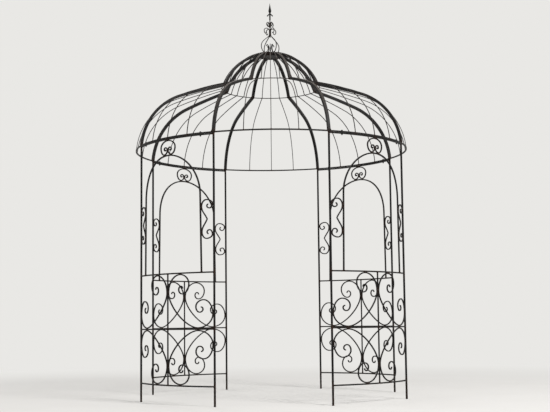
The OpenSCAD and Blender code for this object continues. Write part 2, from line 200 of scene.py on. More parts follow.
# Heights of the rails' lower faces, and of the bands of rust at foot and rails,
# each from its low end by its worst to its high end.
rail_w = 0.012
foot_rail_z, mid_rail_z, sill_z, top_rail_z = RAILS_Z = (0.156, 0.621, 1.086, 2.234)
FOOT_BAND = (-0.2, 0.0, 0.16)
WELD_BAND = 0.05
weld_heights = [z + rail_w / 2 for z in RAILS_Z]
post_enamel = enamelled_steel(
    "satin_enamel_on_steel_tube",
    dark="#060606",
    pale="#110f0e",
    rusty="#2a1c16",
    rust_bands=[FOOT_BAND] + [(z - WELD_BAND, z, z + WELD_BAND) for z in weld_heights],
)
SIDES = ("front", "right", "back", "left")
post_names = [f"{side}_door_{hand}_post" for side in SIDES for hand in ("left", "right")]
for name in post_names:
    frame["nodes"][name].data.materials.clear()
    frame["nodes"][name].data.materials.append(post_enamel)

foot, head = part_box(post_names[0])
post_d = head.x - foot.x
post_h = head.z
plan_r = ((foot + head) / 2).xy.length
bay_turn = math.pi / 4
half_bay = plan_r * bay_turn / 2

# ---------------------------------------------------- rails and middle bars
# A panel has four rails of 12 mm square bar, rolled to the plan and coped to
# the posts: foot rail, mid rail, sill and top rail. A 10 mm bar stands in the
# middle of its balustrade. All are arc welded, and dipped with the posts.
middle_w = 0.010
post_edge = half_bay - post_d / 2
PANELS = {"front_left": 225, "front_right": 315, "back_right": 45, "back_left": 135}
EDGE_SHARE = 0.09
SHARP_FOLD = 0.9


def new_tree(name, inputs):
    """A Geometry Nodes tree with named inputs, and the sockets they come from."""
    tree = bpy.data.node_groups.new(name, "GeometryNodeTree")
    for label, kind in inputs.items():
        tree.interface.new_socket(label, in_out="INPUT", socket_type="NodeSocket" + kind)
    tree.interface.new_socket("Pieces", in_out="OUTPUT", socket_type="NodeSocketGeometry")
    return tree, add(tree, "NodeGroupInput").outputs


def end_tree(tree, pieces, finish):
    """Ends a tree: its pieces become real geometry, in their finish."""
    real = add(tree, "GeometryNodeRealizeInstances", {0: pieces})
    painted = add(tree, "GeometryNodeSetMaterial", {0: real, "Material": finish})
    add(tree, "NodeGroupOutput", {0: painted})


def bar_tree(name, wrapped):
    """Geometry Nodes: sweeps a square bar with rounded edges along flat lines.
    It then bends them round the plan, or stands them upright on its radius."""
    tree, given = new_tree(
        name,
        {
            "Lines": "Object",
            "Bar width": "Float",
            "Edge radius": "Float",
            "Plan radius": "Float",
            "Turn": "Float",
            "Finish": "Material",
        },
    )
    lines = add(tree, "GeometryNodeObjectInfo", {"Object": given["Lines"]})
    width = given["Bar width"]
    sides = {"Width": width, "Height": width}
    section = add(tree, "GeometryNodeCurvePrimitiveQuadrilateral", sides)
    rounded = add(
        tree,
        "GeometryNodeFilletCurve",
        {"Curve": section, "Radius": given["Edge radius"], "Count": 2},
        mode="POLY",
    )
    halved = add(tree, "GeometryNodeSubdivideCurve", {"Curve": rounded, "Cuts": 1})
    # How near each point of the section is to a corner: 0 mid-face, 1 corner.
    spot = add(tree, "GeometryNodeInputPosition")
    spot = add(tree, "ShaderNodeVectorMath", {0: spot}, operation="ABSOLUTE")
    spot = add(tree, "ShaderNodeSeparateXYZ", {0: spot}).outputs
    nearer = add(tree, "ShaderNodeMath", {0: spot["X"], 1: spot["Y"]}, operation="MINIMUM")
    doubled = add(tree, "ShaderNodeMath", {0: nearer, 1: 2.0}, operation="MULTIPLY")
    cornered = add(tree, "ShaderNodeMath", {0: doubled, 1: width}, operation="DIVIDE")
    marked = add(
        tree,
        "GeometryNodeStoreNamedAttribute",
        {"Geometry": halved, "Name": "bar_edge", "Value": cornered},
        data_type="FLOAT",
        domain="POINT",
    )
    swept = add(
        tree,
        "GeometryNodeCurveToMesh",
        {"Curve": lines.outputs["Geometry"], "Profile Curve": marked, "Fill Caps": True},
    )
    turn, radius = given["Turn"], given["Plan radius"]
    if wrapped:
        flat = add(tree, "GeometryNodeInputPosition")
        flat = add(tree, "ShaderNodeSeparateXYZ", {0: flat}).outputs
        angle = add(tree, "ShaderNodeMath", {0: flat["X"], 1: radius}, operation="DIVIDE")
        angle = add(tree, "ShaderNodeMath", {0: angle, 1: turn}, operation="ADD")
        reach = add(tree, "ShaderNodeMath", {0: radius, 1: flat["Z"]}, operation="ADD")
        bent = {2: flat["Y"]}
        for axis, part in enumerate(("COSINE", "SINE")):
            share = add(tree, "ShaderNodeMath", {0: angle}, operation=part)
            bent[axis] = add(tree, "ShaderNodeMath", {0: reach, 1: share}, operation="MULTIPLY")
        spot = add(tree, "ShaderNodeCombineXYZ", bent)
        stood = add(tree, "GeometryNodeSetPosition", {"Geometry": swept, "Position": spot})
    else:
        upright = add(tree, "ShaderNodeCombineXYZ", {0: math.pi / 2, 2: turn})
        stood = add(tree, "GeometryNodeTransform", {"Geometry": swept, "Rotation": upright})
    fold = add(tree, "GeometryNodeInputMeshEdgeAngle")
    sharp = add(tree, "FunctionNodeCompare", {0: fold, 1: SHARP_FOLD}, operation="GREATER_THAN")
    smooth = add(tree, "GeometryNodeSetShadeSmooth", {0: stood}, domain="FACE")
    crisp = add(
        tree,
        "GeometryNodeSetShadeSmooth",
        {0: smooth, "Selection": sharp, "Shade Smooth": False},
        domain="EDGE",
    )
    end_tree(tree, crisp, given["Finish"])
    return tree


def put_up(name, data):
    """Puts a mesh, curve or lamp into the scene as an object."""
    thing = bpy.data.objects.new(name, data)
    scene.collection.objects.link(thing)
    return thing


def grown(name, tree, values, source):
    """Runs a tree on its source with named inputs, and gives its plain mesh."""
    piece = put_up(name, bpy.data.meshes.new(name))
    growth = piece.modifiers.new("growth", "NODES")
    growth.node_group = tree
    for socket in tree.interface.items_tree:
        if socket.in_out == "INPUT":
            growth[socket.identifier] = values[socket.name]
    piece.modifiers.new("flat_faces", "WEIGHTED_NORMAL").keep_sharp = True
    ready = piece.evaluated_get(bpy.context.evaluated_depsgraph_get())
    mesh = bpy.data.meshes.new_from_object(ready)
    piece.modifiers.clear()
    piece.data = mesh
    bpy.data.objects.remove(source)
    return piece


def drawn(name, lines):
    """Curve of straight steps through the places on each line."""
    curve = bpy.data.curves.new(name, "CURVE")
    curve.dimensions = "3D"
    for line in lines:
        spline = curve.splines.new("POLY")
        spline.points.add(len(line) - 1)
        for point, place in zip(spline.points, line):
            point.co = (*place, 1)
    return put_up(name, curve)


def bars(name, lines, width, tree, turn, finish):
    """Square bars along lines of flat points, as one piece."""
    source = drawn(name + "_lines", [[(*point, 0) for point in line] for line in lines])
    source.data.twist_mode = "Z_UP"
    sizes = {
        "Lines": source,
        "Bar width": width,
        "Edge radius": EDGE_SHARE * width,
        "Plan radius": plan_r,
        "Turn": turn,
        "Finish": finish,
    }
    return grown(name, tree, sizes, source)


def straight(start, end, step=0.012):
    """Points about every 12 mm from start to end, so that a bar can bend."""
    start, end = Vector(start), Vector(end)
    count = max(1, round((end - start).length / step))
    return [start.lerp(end, i / count) for i in range(count + 1)]


def at(turn, radius, side, height):
    """Place at a turn and radius from the plan's middle, and a side step."""
    x = radius * math.cos(turn) - side * math.sin(turn)
    y = radius * math.sin(turn) + side * math.cos(turn)
    return Vector((x, y, height))


seams = []
SQUARE = ((-1, -1), (1, -1), (1, 1), (-1, 1), (-1, -1))


def seam(turn, points, wrapped=True):
    """Notes a run of weld through points of [along the plan, out, up], or of
    [aside, out from the dome's axis, up] where the piece stands upright."""
    seams.append(
        [
            at(turn + p[0] / plan_r, plan_r + p[1], 0, p[2])
            if wrapped
            else at(turn, p[1], p[0], p[2])
            for p in points
        ]
    )


round_plan = bar_tree("bars_bent_round_plan", wrapped=True)
rail_enamel = enamelled_steel(
    "satin_enamel_on_square_bar", dark="#070707", pale="#13110f", rusty="#2a1d16"
)
in_post = half_bay - post_d / 4
cope = math.sqrt(post_d**2 - rail_w**2) / 2
for panel, degrees in PANELS.items():
    turn = math.radians(degrees)
    rail_lines = [straight((-in_post, z), (in_post, z)) for z in weld_heights]
    rails = bars(panel + "_bent_rails", rail_lines, rail_w, round_plan, turn, rail_enamel)
    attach(rails, "root")
    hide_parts(panel + "_rails")
    middle_line = straight((0, foot_rail_z + rail_w / 2), (0, sill_z + rail_w / 2))
    middle = bars(
        panel + "_middle_bar", [middle_line], middle_w, round_plan, turn, rail_enamel
    )
    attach(middle, "root")
    for z in RAILS_Z:
        for hand in (-1, 1):
            ring = [(cope, 1, 0), (cope, 1, 1), (post_d / 2, 0, 1), (cope, -1, 1)]
            ring += [(cope, -1, 0), (post_d / 2, 0, 0), (cope, 1, 0)]
            seam(
                turn,
                [
                    (hand * (half_bay - near), out * rail_w / 2, z + up * rail_w)
                    for near, out, up in ring
                ],
            )
    for z in (foot_rail_z + rail_w, mid_rail_z, mid_rail_z + rail_w, sill_z):
        seam(turn, [(a * middle_w / 2, b * middle_w / 2, z) for a, b in SQUARE])

# ---------------------------------------------------------------- C scrolls
# Each balustrade has four scrolls, cold bent from 10 mm square bar round a
# scroll iron: a big C that curls in at both ends, and its mirrored twins. They
# are tack welded where they touch the middle bar, rails and post.
scroll_w = 0.010
TACK_GAP = 0.0003
tack = TACK_GAP + scroll_w / 2
C_GRIP, FLAT_GRIP = 0.55, 0.36
CURL_STEP = 0.007


def quarter(start, end, upright, grip):
    """Points of a quarter turn that leaves start upright, or else level."""
    step = end - start
    leave = Vector((0, step.y)) if upright else Vector((step.x, 0))
    arrive = Vector((step.x, 0)) if upright else Vector((0, step.y))
    count = max(9, round(step.length / CURL_STEP))
    return interpolate_bezier(start, start + grip * leave, end - grip * arrive, end, count)[1:]


def curled(knots, upright, flatter=None):
    """Line through knots by quarter turns. The one numbered flatter is less round."""
    line = [knots[0]]
    for i, (start, end) in enumerate(zip(knots, knots[1:])):
        grip = FLAT_GRIP if i == flatter else C_GRIP
        line += [Vector(p).xy for p in quarter(start, end, upright == (i % 2 == 0), grip)]
    return line


# Knots of the C, as shares of its field between middle bar, post and rails.
C_KNOTS = (
    (0.357, 0.735),
    (0.318, 0.780),
    (0.264, 0.715),
    (0.350, 0.635),
    (0.502, 0.820),
    (0.301, 1),
    (0, 0.662),
    (0.697, 0),
    (1, 0.255),
    (0.818, 0.518),
    (0.655, 0.390),
    (0.735, 0.288),
    (0.803, 0.345),
    (0.762, 0.385),
)
c_low = Vector((middle_w / 2 + tack, mid_rail_z + rail_w + tack))
c_high = Vector((post_edge - tack, sill_z - tack))
c_knots = [
    Vector((c_low.x + f * (c_high.x - c_low.x), c_low.y + g * (c_high.y - c_low.y)))
    for f, g in C_KNOTS
]
c_line = curled(c_knots, upright=True, flatter=6)
mirror_z = mid_rail_z + rail_w / 2
TACK_REACH = 0.006
post_tack = post_edge + 0.0008
POST_TACK_DEPTH = 0.0045


def tack_weld(turn, along, up, level, depth=scroll_w / 2):
    """Notes the short runs on both faces of a scroll that touches a bar."""
    step = Vector((TACK_REACH, 0)) if level else Vector((0, TACK_REACH))
    for out in (-depth, depth):
        seam(turn, [(along - step.x, out, up - step.y), (along + step.x, out, up + step.y)])


scroll_enamel = enamelled_steel(
    "satin_enamel_on_scrollwork", dark="#060606", pale="#120f0e", rusty="#281b15"
)
for panel, degrees in PANELS.items():
    turn = math.radians(degrees)
    lines = []
    for hand in (-1, 1):
        for flip in (0, 1):
            lines.append([(hand * p.x, 2 * mirror_z - p.y if flip else p.y) for p in c_line])
            for along, up, level, depth in (
                (c_knots[5].x, sill_z, True, scroll_w / 2),
                (middle_w / 2, c_knots[6].y, False, scroll_w / 2),
                (c_knots[7].x, mid_rail_z + rail_w, True, scroll_w / 2),
                (post_tack, c_knots[8].y, False, POST_TACK_DEPTH),
            ):
                height = 2 * mirror_z - up if flip else up
                tack_weld(turn, hand * along, height, level, depth)
    scrolls = bars(panel + "_bent_scrolls", lines, scroll_w, round_plan, turn, scroll_enamel)
    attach(scrolls, "root")
    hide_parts(panel + "_scrolls")

# ------------------------------------------------------------------- arches
# An arch of 12 mm square bar stands on each sill. It is bent as a half circle
# whose legs lean a little towards the posts, and is welded at its feet.
arch_w = 0.012
crest_h = 0.117
leg_inset = 0.129
leg = half_bay - leg_inset
splay = 0.010
sill_top = sill_z + rail_w
arch_top = top_rail_z - crest_h - 2 * tack - arch_w / 2
spring_z = arch_top - leg


def leg_at(height):
    """Distance of an arch leg from the panel's middle, at a height."""
    down = (spring_z - height) / (spring_z - sill_top - arch_w)
    return leg + splay * max(0, min(1, down))


foot_x = leg_at(sill_top)
arch_line = straight((foot_x, sill_top), (foot_x, sill_top + arch_w))
arch_line += straight((foot_x, sill_top + arch_w), (leg, spring_z))[1:]
ARCH_STEPS = 90
half_circle = [
    Vector((leg * math.cos(a), spring_z + leg * math.sin(a)))
    for a in (math.pi * i / ARCH_STEPS for i in range(1, ARCH_STEPS))
]
arch_line = arch_line + half_circle + [Vector((-p.x, p.y)) for p in reversed(arch_line)]
for panel, degrees in PANELS.items():
    turn = math.radians(degrees)
    arch = bars(panel + "_bent_arch", [arch_line], arch_w, round_plan, turn, rail_enamel)
    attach(arch, "root")
    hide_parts(panel + "_arch")
    for hand in (-1, 1):
        foot_box = [(hand * foot_x + a * arch_w / 2, b * arch_w / 2) for a, b in SQUARE]
        seam(turn, [(along, out, sill_top) for along, out in foot_box])

# --------------------------------------------------------- crest and braces
# Over the arch sits a crest: one 10 mm bar whose two strands run down round
# an oval and curl out of the middle. A brace of two hooks and a V is tacked
# between each arch leg and its post.
crest_half_w = 0.093


def on_arch(along):
    """Height of a strand's middle where it lies on the arch."""
    return spring_z + math.sqrt((leg + arch_w / 2 + tack) ** 2 - along**2)


# Knots of a strand, as shares of half the crest's width and of its height.
CREST_KNOTS = (
    (1, 0.50),
    (0.46, 0),
    (0, 0.30),
    (0.27, 0.51),
    (0.46, 0.39),
    (0.34, 0.29),
    (0.25, 0.36),
)
crest_low = on_arch(crest_half_w / 2)
crest_high = top_rail_z - tack
crest_knots = [Vector((0, crest_high))] + [
    Vector((tack + f * (crest_half_w - tack), crest_low + g * (crest_high - crest_low)))
    for f, g in CREST_KNOTS
]
strand = curled(crest_knots, upright=False)
crest_line = [Vector((-p.x, p.y)) for p in reversed(strand)] + strand[1:]

brace_h = 0.322
brace_z = sill_top + 0.433
LEG_TACK, POST_SIDE = 0.66, 0.79
HOOK_STEPS = 12


def in_brace(f, g):
    """Place between the arch leg, f = 0, and the post, f = 1."""
    height = brace_z + g * brace_h / 2
    near = leg_at(height) + arch_w / 2 + tack
    return Vector((near + f * (post_edge - tack - near), height))


brace_tip = in_brace(0.52, 0)
hooks = []
for s in (-1, 1):
    back = in_brace(0, LEG_TACK * s)
    slant = back - brace_tip
    rise = Vector((0, 0.4 * slant.y))
    hook = interpolate_bezier(
        brace_tip, brace_tip + 0.45 * slant, back - rise, back, HOOK_STEPS
    )
    knots = [back, in_brace(0.45, s), in_brace(1, POST_SIDE * s), in_brace(0.74, 0.56 * s)]
    knots += [in_brace(0.50, 0.67 * s), in_brace(0.62, 0.76 * s)]
    hooks.append([Vector(p).xy for p in hook] + curled(knots, upright=True)[1:])
brace_line = list(reversed(hooks[0])) + hooks[1][1:]
ornament_lines = [crest_line, brace_line, [Vector((-p.x, p.y)) for p in brace_line]]
for panel, degrees in PANELS.items():
    turn = math.radians(degrees)
    ornaments = bars(
        panel + "_bent_crest_and_braces",
        ornament_lines,
        scroll_w,
        round_plan,
        turn,
        scroll_enamel,
    )
    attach(ornaments, "root")
    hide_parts(panel + "_arch_scrolls")
    tack_weld(turn, 0, top_rail_z, level=True)
    tack_weld(turn, 0, crest_knots[3].y, level=False)
    for hand in (-1, 1):
        tack_weld(turn, hand * crest_half_w / 2, crest_low - tack, level=True)
        for g in (-LEG_TACK, LEG_TACK):
            spot = in_brace(0, g)
            tack_weld(turn, hand * (spot.x - tack), spot.y, level=False)
        for g in (-POST_SIDE, POST_SIDE):
            tack_weld(turn, hand * post_tack, in_brace(1, g).y, False, POST_TACK_DEPTH)

# ---------------------------------------------------------------- dome ring
# The dome stands on a ring of 12 mm square bar, rolled in eight lengths that
# meet over the posts. It is welded down onto them.
ring_w = 0.012
ring_top = post_h + ring_w
JOINT = 0.00015


def circle(steps):
    """Cosine and sine at even steps round a circle, back to its start."""
    turns = [math.tau * i / steps for i in range(steps + 1)]
    return [(math.cos(a), math.sin(a)) for a in turns]


# Painted light: the dome's enamel is paler than the posts', and its upward faces take a thick pale
# coat, so that the ribs look sunlit.
dome_enamel = enamelled_steel(
    "satin_enamel_on_dome", dark="#0a0a0a", pale="#2c2a29", rusty="#2c1e17", dust_and_painted_light=1.4
)
first_post = math.radians(247.5)
bay = 2 * half_bay
ring_z = post_h + ring_w / 2
ring_line = [
    straight((bay * i + JOINT, ring_z), (bay * (i + 1) - JOINT, ring_z)) for i in range(8)
]
dome_ring = bars("rolled_dome_ring", ring_line, ring_w, round_plan, first_post, dome_enamel)
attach(dome_ring, "root")
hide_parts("dome_ring")
post_turns = [first_post + bay_turn * i for i in range(8)]
for turn in post_turns:
    seam(turn, [(x * post_d / 2, y * post_d / 2, post_h) for x, y in circle(12)])

# --------------------------------------------------------------------- ribs
# Eight ribs of 25 mm square tube rise over the posts. Each was pulled round a
# bender in four arcs: shoulder, slope, the neck's tight bend the other way,
# and the bulb. They run into the crown's rim.
rib_w = 0.025
LEAN, SHOULDER, SLOPE = math.radians(6), math.radians(70), math.radians(6)
BULB_START = math.radians(21)
neck_bend_r = 0.016
bulb_r = 0.484
bulb_z = ring_top + 0.437
foot_z = ring_top + 0.004
ARC_STEP = 0.02
BEND_STEP, TIGHT_STEP = math.radians(2.5), math.radians(8)


def toward(angle):
    """Unit step at an angle from outwards."""
    return Vector((math.cos(angle), math.sin(angle)))


def swing(middle, radius, start, end, step=BEND_STEP):
    """Points of an arc, without its first one."""
    sweep = abs(end - start)
    count = max(6, math.ceil(sweep / step), round(sweep * radius / ARC_STEP))
    return [
        middle + radius * toward(start + (end - start) * i / count)
        for i in range(1, count + 1)
    ]


def dome_line(lift, end_r):
    """Line of a rib or rod from the dome ring to end_r from the dome's axis.
    The two arcs' radii are solved so that they end at the neck's bend."""
    middle = Vector((0, bulb_z + lift))
    lean = math.asin(math.sin(BULB_START) - lift / bulb_r)
    neck = middle + (bulb_r + neck_bend_r) * toward(lean)
    h0, h1 = math.pi / 2 + LEAN, math.pi / 2 + SHOULDER
    h2 = h1 + SLOPE
    run = neck + neck_bend_r * toward(h2 + math.pi / 2) - Vector((plan_r, foot_z))
    a, b = math.sin(h1) - math.sin(h0), math.sin(h2) - math.sin(h1)
    c, d = math.cos(h0) - math.cos(h1), math.cos(h1) - math.cos(h2)
    shoulder_r = (run.x * d - b * run.y) / (a * d - b * c)
    slope_r = (a * run.y - c * run.x) / (a * d - b * c)
    shoulder = Vector((plan_r, foot_z)) - shoulder_r * toward(LEAN)
    slope = shoulder + (shoulder_r - slope_r) * toward(SHOULDER)
    line = [Vector((plan_r, ring_top)), Vector((plan_r, foot_z))]
    line += swing(shoulder, shoulder_r, LEAN, SHOULDER)
    line += swing(slope, slope_r, SHOULDER, h2 - math.pi / 2)
    line += swing(neck, neck_bend_r, h2 + math.pi / 2, math.pi + lean, TIGHT_STEP)
    line += swing(middle, bulb_r, lean, math.acos(end_r / bulb_r))
    return line, neck, (h2 + 3 * math.pi / 2 + lean) / 2


crown_r = 0.100
IN_CROWN = 0.002
bulb_face = bulb_r + rib_w / 2
rim_low = bulb_z + math.sqrt((bulb_r - rib_w / 2) ** 2 - crown_r**2)
rim_high = bulb_z + math.sqrt(bulb_face**2 - crown_r**2)
stood_upright = bar_tree("bars_stood_upright", wrapped=False)
rib_line = dome_line(0, crown_r - IN_CROWN)[0]
for name, turn in zip(post_names, post_turns):
    rib = bars(name[:-5] + "_bent_rib", [rib_line], rib_w, stood_upright, turn, dome_enamel)
    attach(rib, "root")
    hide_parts(name[:-5] + "_rib")
    foot_box = [(a * rib_w / 2, plan_r + b * ring_w / 2, ring_top) for a, b in SQUARE]
    head_box = [(a * rib_w / 2, crown_r, rim_low if b < 0 else rim_high) for a, b in SQUARE]
    seam(turn, foot_box, wrapped=False)
    seam(turn, head_box, wrapped=False)

# --------------------------------------------------------------------- rods
# Three rods of 6 mm square bar fill each bay of the dome. They keep the ribs'
# line as far as the neck, then pass over the crown and end round the finial.
rod_w = 0.006
ROD_END_R = 0.036
rod_lift = rib_w / 2 + rod_w / 2 + 0.0009
rod_line, rod_neck, hoop_angle = dome_line(rod_lift, ROD_END_R)
ROD_SPREAD = math.radians(10.5)
ROD_WELD = 0.0025
BAYS = ("front", "front_right", "right", "back_right", "back", "back_left", "left", "front_left")
# Painted highlight: the rods' upward faces take the heaviest pale coat, so that they look sunlit
# along their tops.
rod_enamel = enamelled_steel(
    "satin_enamel_on_thin_rods", dark="#080707", pale="#1c1917", rusty="#2c1e17", dust_and_painted_light=2.2
)
rod_turns = []
for name, turn in zip(BAYS, post_turns):
    for n, which in ((-1, "first"), (0, "middle"), (1, "last")):
        rod_turn = turn + bay_turn / 2 + ROD_SPREAD * n
        rod_turns.append(rod_turn)
        rod = bars(
            f"{name}_{which}_rod", [rod_line], rod_w, stood_upright, rod_turn, rod_enamel
        )
        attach(rod, "root")
        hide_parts(name + "_rods")
        foot_box = [(a * rod_w / 2, plan_r + b * ROD_WELD, ring_top) for a, b in SQUARE]
        seam(rod_turn, foot_box, wrapped=False)

# ---------------------------------------------------------------- neck hoop
# A hoop of 8 mm round bar lies under the rods in the crook of the neck. It is
# cut into eight lengths that are welded between the ribs, and each rod is
# tacked to it.
hoop_d = 0.008
hoop_seat = neck_bend_r + rod_w / 2 + TACK_GAP
hoop_spot = rod_neck + (hoop_seat + hoop_d / 2) * toward(hoop_angle)
hoop_r, hoop_z = hoop_spot
HOOP_SIDES = 12
HOOP_STEPS = 36
ROD_TACK = 0.002
hoop_enamel = enamelled_steel(
    "satin_enamel_on_round_bar", dark="#080707", pale="#171412", rusty="#2c1e17"
)
corners, skins = [], []
rib_half = math.asin(rib_w / 2 / hoop_r)
at_rib = math.sqrt(hoop_r**2 - rib_w**2 / 4)
for turn in post_turns:
    start, end = turn + rib_half, turn + bay_turn - rib_half
    first = len(corners)
    for i in range(HOOP_STEPS + 1):
        angle = start + (end - start) * i / HOOP_STEPS
        for x, y in circle(HOOP_SIDES)[:-1]:
            corners.append(at(angle, hoop_r + hoop_d / 2 * x, 0, hoop_z + hoop_d / 2 * y))
    for i in range(HOOP_STEPS):
        for k in range(HOOP_SIDES):
            a, b = first + i * HOOP_SIDES + k, first + i * HOOP_SIDES + (k + 1) % HOOP_SIDES
            skins.append((b, a, a + HOOP_SIDES, b + HOOP_SIDES))
    last = first + HOOP_STEPS * HOOP_SIDES
    skins.append(tuple(range(first, first + HOOP_SIDES)))
    skins.append(tuple(range(last + HOOP_SIDES - 1, last - 1, -1)))
    for side in (-rib_w / 2, rib_w / 2):
        end_rim = [
            (side, at_rib + hoop_d / 2 * x, hoop_z + hoop_d / 2 * y) for x, y in circle(8)
        ]
        seam(turn, end_rim, wrapped=False)
hoop_mesh = bpy.data.meshes.new("rolled_neck_hoop")
hoop_mesh.from_pydata(corners, [], skins)
hoop_mesh.shade_smooth()
hoop_mesh.set_sharp_from_angle(angle=1.0)
hoop_mesh.materials.append(hoop_enamel)
neck_hoop = put_up("rolled_neck_hoop", hoop_mesh)
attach(neck_hoop, "root")
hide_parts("neck_hoop")
tack_spot = hoop_spot - hoop_d / 2 * toward(hoop_angle)
for turn in rod_turns:
    for side in (-rod_w / 2, rod_w / 2):
        ends = [(side + reach, *tack_spot) for reach in (-ROD_TACK, ROD_TACK)]
        seam(turn, ends, wrapped=False)

# -------------------------------------------------------------------- crown
# The crown is a cap of spun sheet steel with a deep rim, which closes the top
# of the dome and carries the finial. Its top keeps the bulb's curve.
RIM_DROP = 0.015
crown_low = bulb_z + math.sqrt(bulb_r**2 - crown_r**2) - RIM_DROP
ROLL = 0.003
HOLLOW = 0.004
CAP_STEPS = 20


def turned(name, outline, sides=64, across_flats=None):
    """Closed mesh of an outline of [radius, height], from foot to top, turned
    about the upright axis. It is cut to a hexagon if across_flats is given."""
    places, rings, sheets = [], [], []
    for radius, height in outline:
        ring = []
        for i in range(sides if radius else 1):
            a = math.tau * i / sides
            reach = radius
            if across_flats:
                reach = min(radius, across_flats / 2 / math.cos(a % (math.pi / 3) - math.pi / 6))
            ring.append(len(places))
            places.append((reach * math.cos(a), reach * math.sin(a), height))
        rings.append(ring)
    for low, high in zip(rings, rings[1:]):
        for i in range(sides):
            j = (i + 1) % sides
            sheet = [low[i % len(low)], low[j % len(low)], high[j % len(high)], high[i % len(high)]]
            sheets.append(list(dict.fromkeys(sheet)))
    mesh = bpy.data.meshes.new(name)
    mesh.from_pydata(places, [], sheets)
    mesh.shade_smooth()
    mesh.set_sharp_from_angle(angle=0.6)
    return mesh


# The hollow below, the rolled lower edge, the rim and the cap.
crown_outline = [(0, crown_low + HOLLOW), (crown_r - 0.014, crown_low + HOLLOW)]
crown_outline += [(crown_r - 0.012, crown_low), (crown_r - ROLL, crown_low)]
crown_outline += [
    (crown_r - ROLL + ROLL * math.sin(a), crown_low + ROLL - ROLL * math.cos(a))
    for a in (math.pi / 8 * i for i in range(1, 5))
]
crown_outline += [(crown_r, rim_high - ROLL), (crown_r - 0.0008, rim_high - 0.001)]
for i in range(1, CAP_STEPS + 1):
    reach = (crown_r - 0.003) * (1 - i / CAP_STEPS)
    crown_outline.append((reach, bulb_z + math.sqrt(bulb_face**2 - reach**2)))
crown_mesh = turned("spun_crown", crown_outline, sides=96)
crown_mesh.materials.append(
    enamelled_steel("satin_enamel_on_spun_cap", dark="#070606", pale="#12100f", rusty="#281b15")
)
crown = put_up("spun_crown", crown_mesh)
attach(crown, "root")
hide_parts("crown")

# ------------------------------------------------------------- finial spear
# A turned bud stands in a collar on the crown. Over it the cage carries the
# spear: a 9 mm rod with a knob below, and a forged head with four flat barbs
# above.
finial_z = bulb_z + bulb_face
finial_h = 0.488
spear_r = 0.0045
collar_r = spear_r + 0.007
finial_enamel = enamelled_steel(
    "satin_enamel_on_finial", dark="#070707", pale="#14110f", rusty="#281b15"
)


def up_finial(share):
    """Height at a share of the finial, above the crown's top."""
    return finial_z + share * finial_h


# The collar is bedded 4 mm deep in the crown and chamfered at its top.
bud_outline = [(0, finial_z - 0.004), (collar_r - 0.001, finial_z - 0.004)]
bud_outline += [(collar_r, finial_z + 0.001), (collar_r, finial_z + 0.0095)]
bud_outline += [(collar_r - 0.0015, finial_z + 0.0115), (0.0066, finial_z + 0.012)]
bud_outline += [
    (radius, up_finial(share))
    for radius, share in (
        (0.0054, 0.028),
        (0.0050, 0.040),
        (0.0056, 0.055),
        (0.0063, 0.075),
        (0.0065, 0.095),
        (0.0064, 0.112),
        (0.0057, 0.124),
        (0.0044, 0.134),
        (0.0035, 0.142),
        (0.0031, 0.158),
        (0.0034, 0.174),
        (0.0034, 0.184),
        (0.0025, 0.195),
        (0.0010, 0.203),
        (0, 0.205),
    )
]
# The knob, the rod, the collar that the barbs are let into, and the leaf head.
spear_outline = [
    (radius, up_finial(share))
    for radius, share in (
        (0, 0.315),
        (0.0024, 0.3158),
        (0.0046, 0.3190),
        (0.0058, 0.3245),
        (0.0060, 0.3300),
        (0.0056, 0.3360),
        (0.0048, 0.3420),
        (spear_r, 0.3480),
        *[(spear_r, 0.36 + 0.0365 * step) for step in range(9)],
        (0.0050, 0.656),
        (0.0066, 0.664),
        (0.0070, 0.670),
        (0.0070, 0.715),
        (0.0070, 0.760),
        (0.0070, 0.795),
        (0.0082, 0.803),
        (0.0106, 0.816),
        (0.0130, 0.829),
        (0.0140, 0.839),
        (0.0136, 0.851),
        (0.0116, 0.874),
        (0.0088, 0.900),
        (0.0062, 0.926),
        (0.0040, 0.952),
        (0.0022, 0.978),
        (0.0010, 0.995),
        (0, 1),
    )
]
for name, outline in (("turned_bud", bud_outline), ("forged_spear", spear_outline)):
    turning_mesh = turned(name, outline, sides=32)
    turning_mesh.materials.append(finial_enamel)
    turning = put_up(name, turning_mesh)
    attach(turning, "root")
    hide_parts("finial_spear")
seam(0, [(collar_r * y, collar_r * x, finial_z) for x, y in circle(12)], wrapped=False)

# Two flat plates, crossed in the head, each cut with a barb at either end.
BARB_SPAN = 0.030
BARB_T = 0.005
right_half = [(0.40, 0.7535), (0.78, 0.7320), (0.82, 0.7320), (0.985, 0.7430)]
right_half += [(1, 0.7455), (0.97, 0.7485), (0.55, 0.7740)]
barb_outline = [(0, 0.776)] + right_half + [(0, 0.808)]
barb_outline += [(-share, up) for share, up in reversed(right_half)]
places, sheets = [], []
count = len(barb_outline)
for turn in (0, math.pi / 2):
    first = len(places)
    for side in (-BARB_T / 2, BARB_T / 2):
        for share, up in barb_outline:
            places.append(at(turn, share * BARB_SPAN, side, up_finial(up)))
    sheets.append(tuple(range(first, first + count)))
    sheets.append(tuple(range(first + 2 * count - 1, first + count - 1, -1)))
    for i in range(count):
        a, b = first + i, first + (i + 1) % count
        sheets.append((b, a, a + count, b + count))
barb_mesh = bpy.data.meshes.new("cut_barbs")
barb_mesh.from_pydata(places, [], sheets)
barb_mesh.materials.append(finial_enamel)
barbs = put_up("cut_barbs", barb_mesh)
filed_edges = barbs.modifiers.new("filed_edges", "BEVEL")
filed_edges.width = 0.0004
filed_edges.segments = 2
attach(barbs, "root")

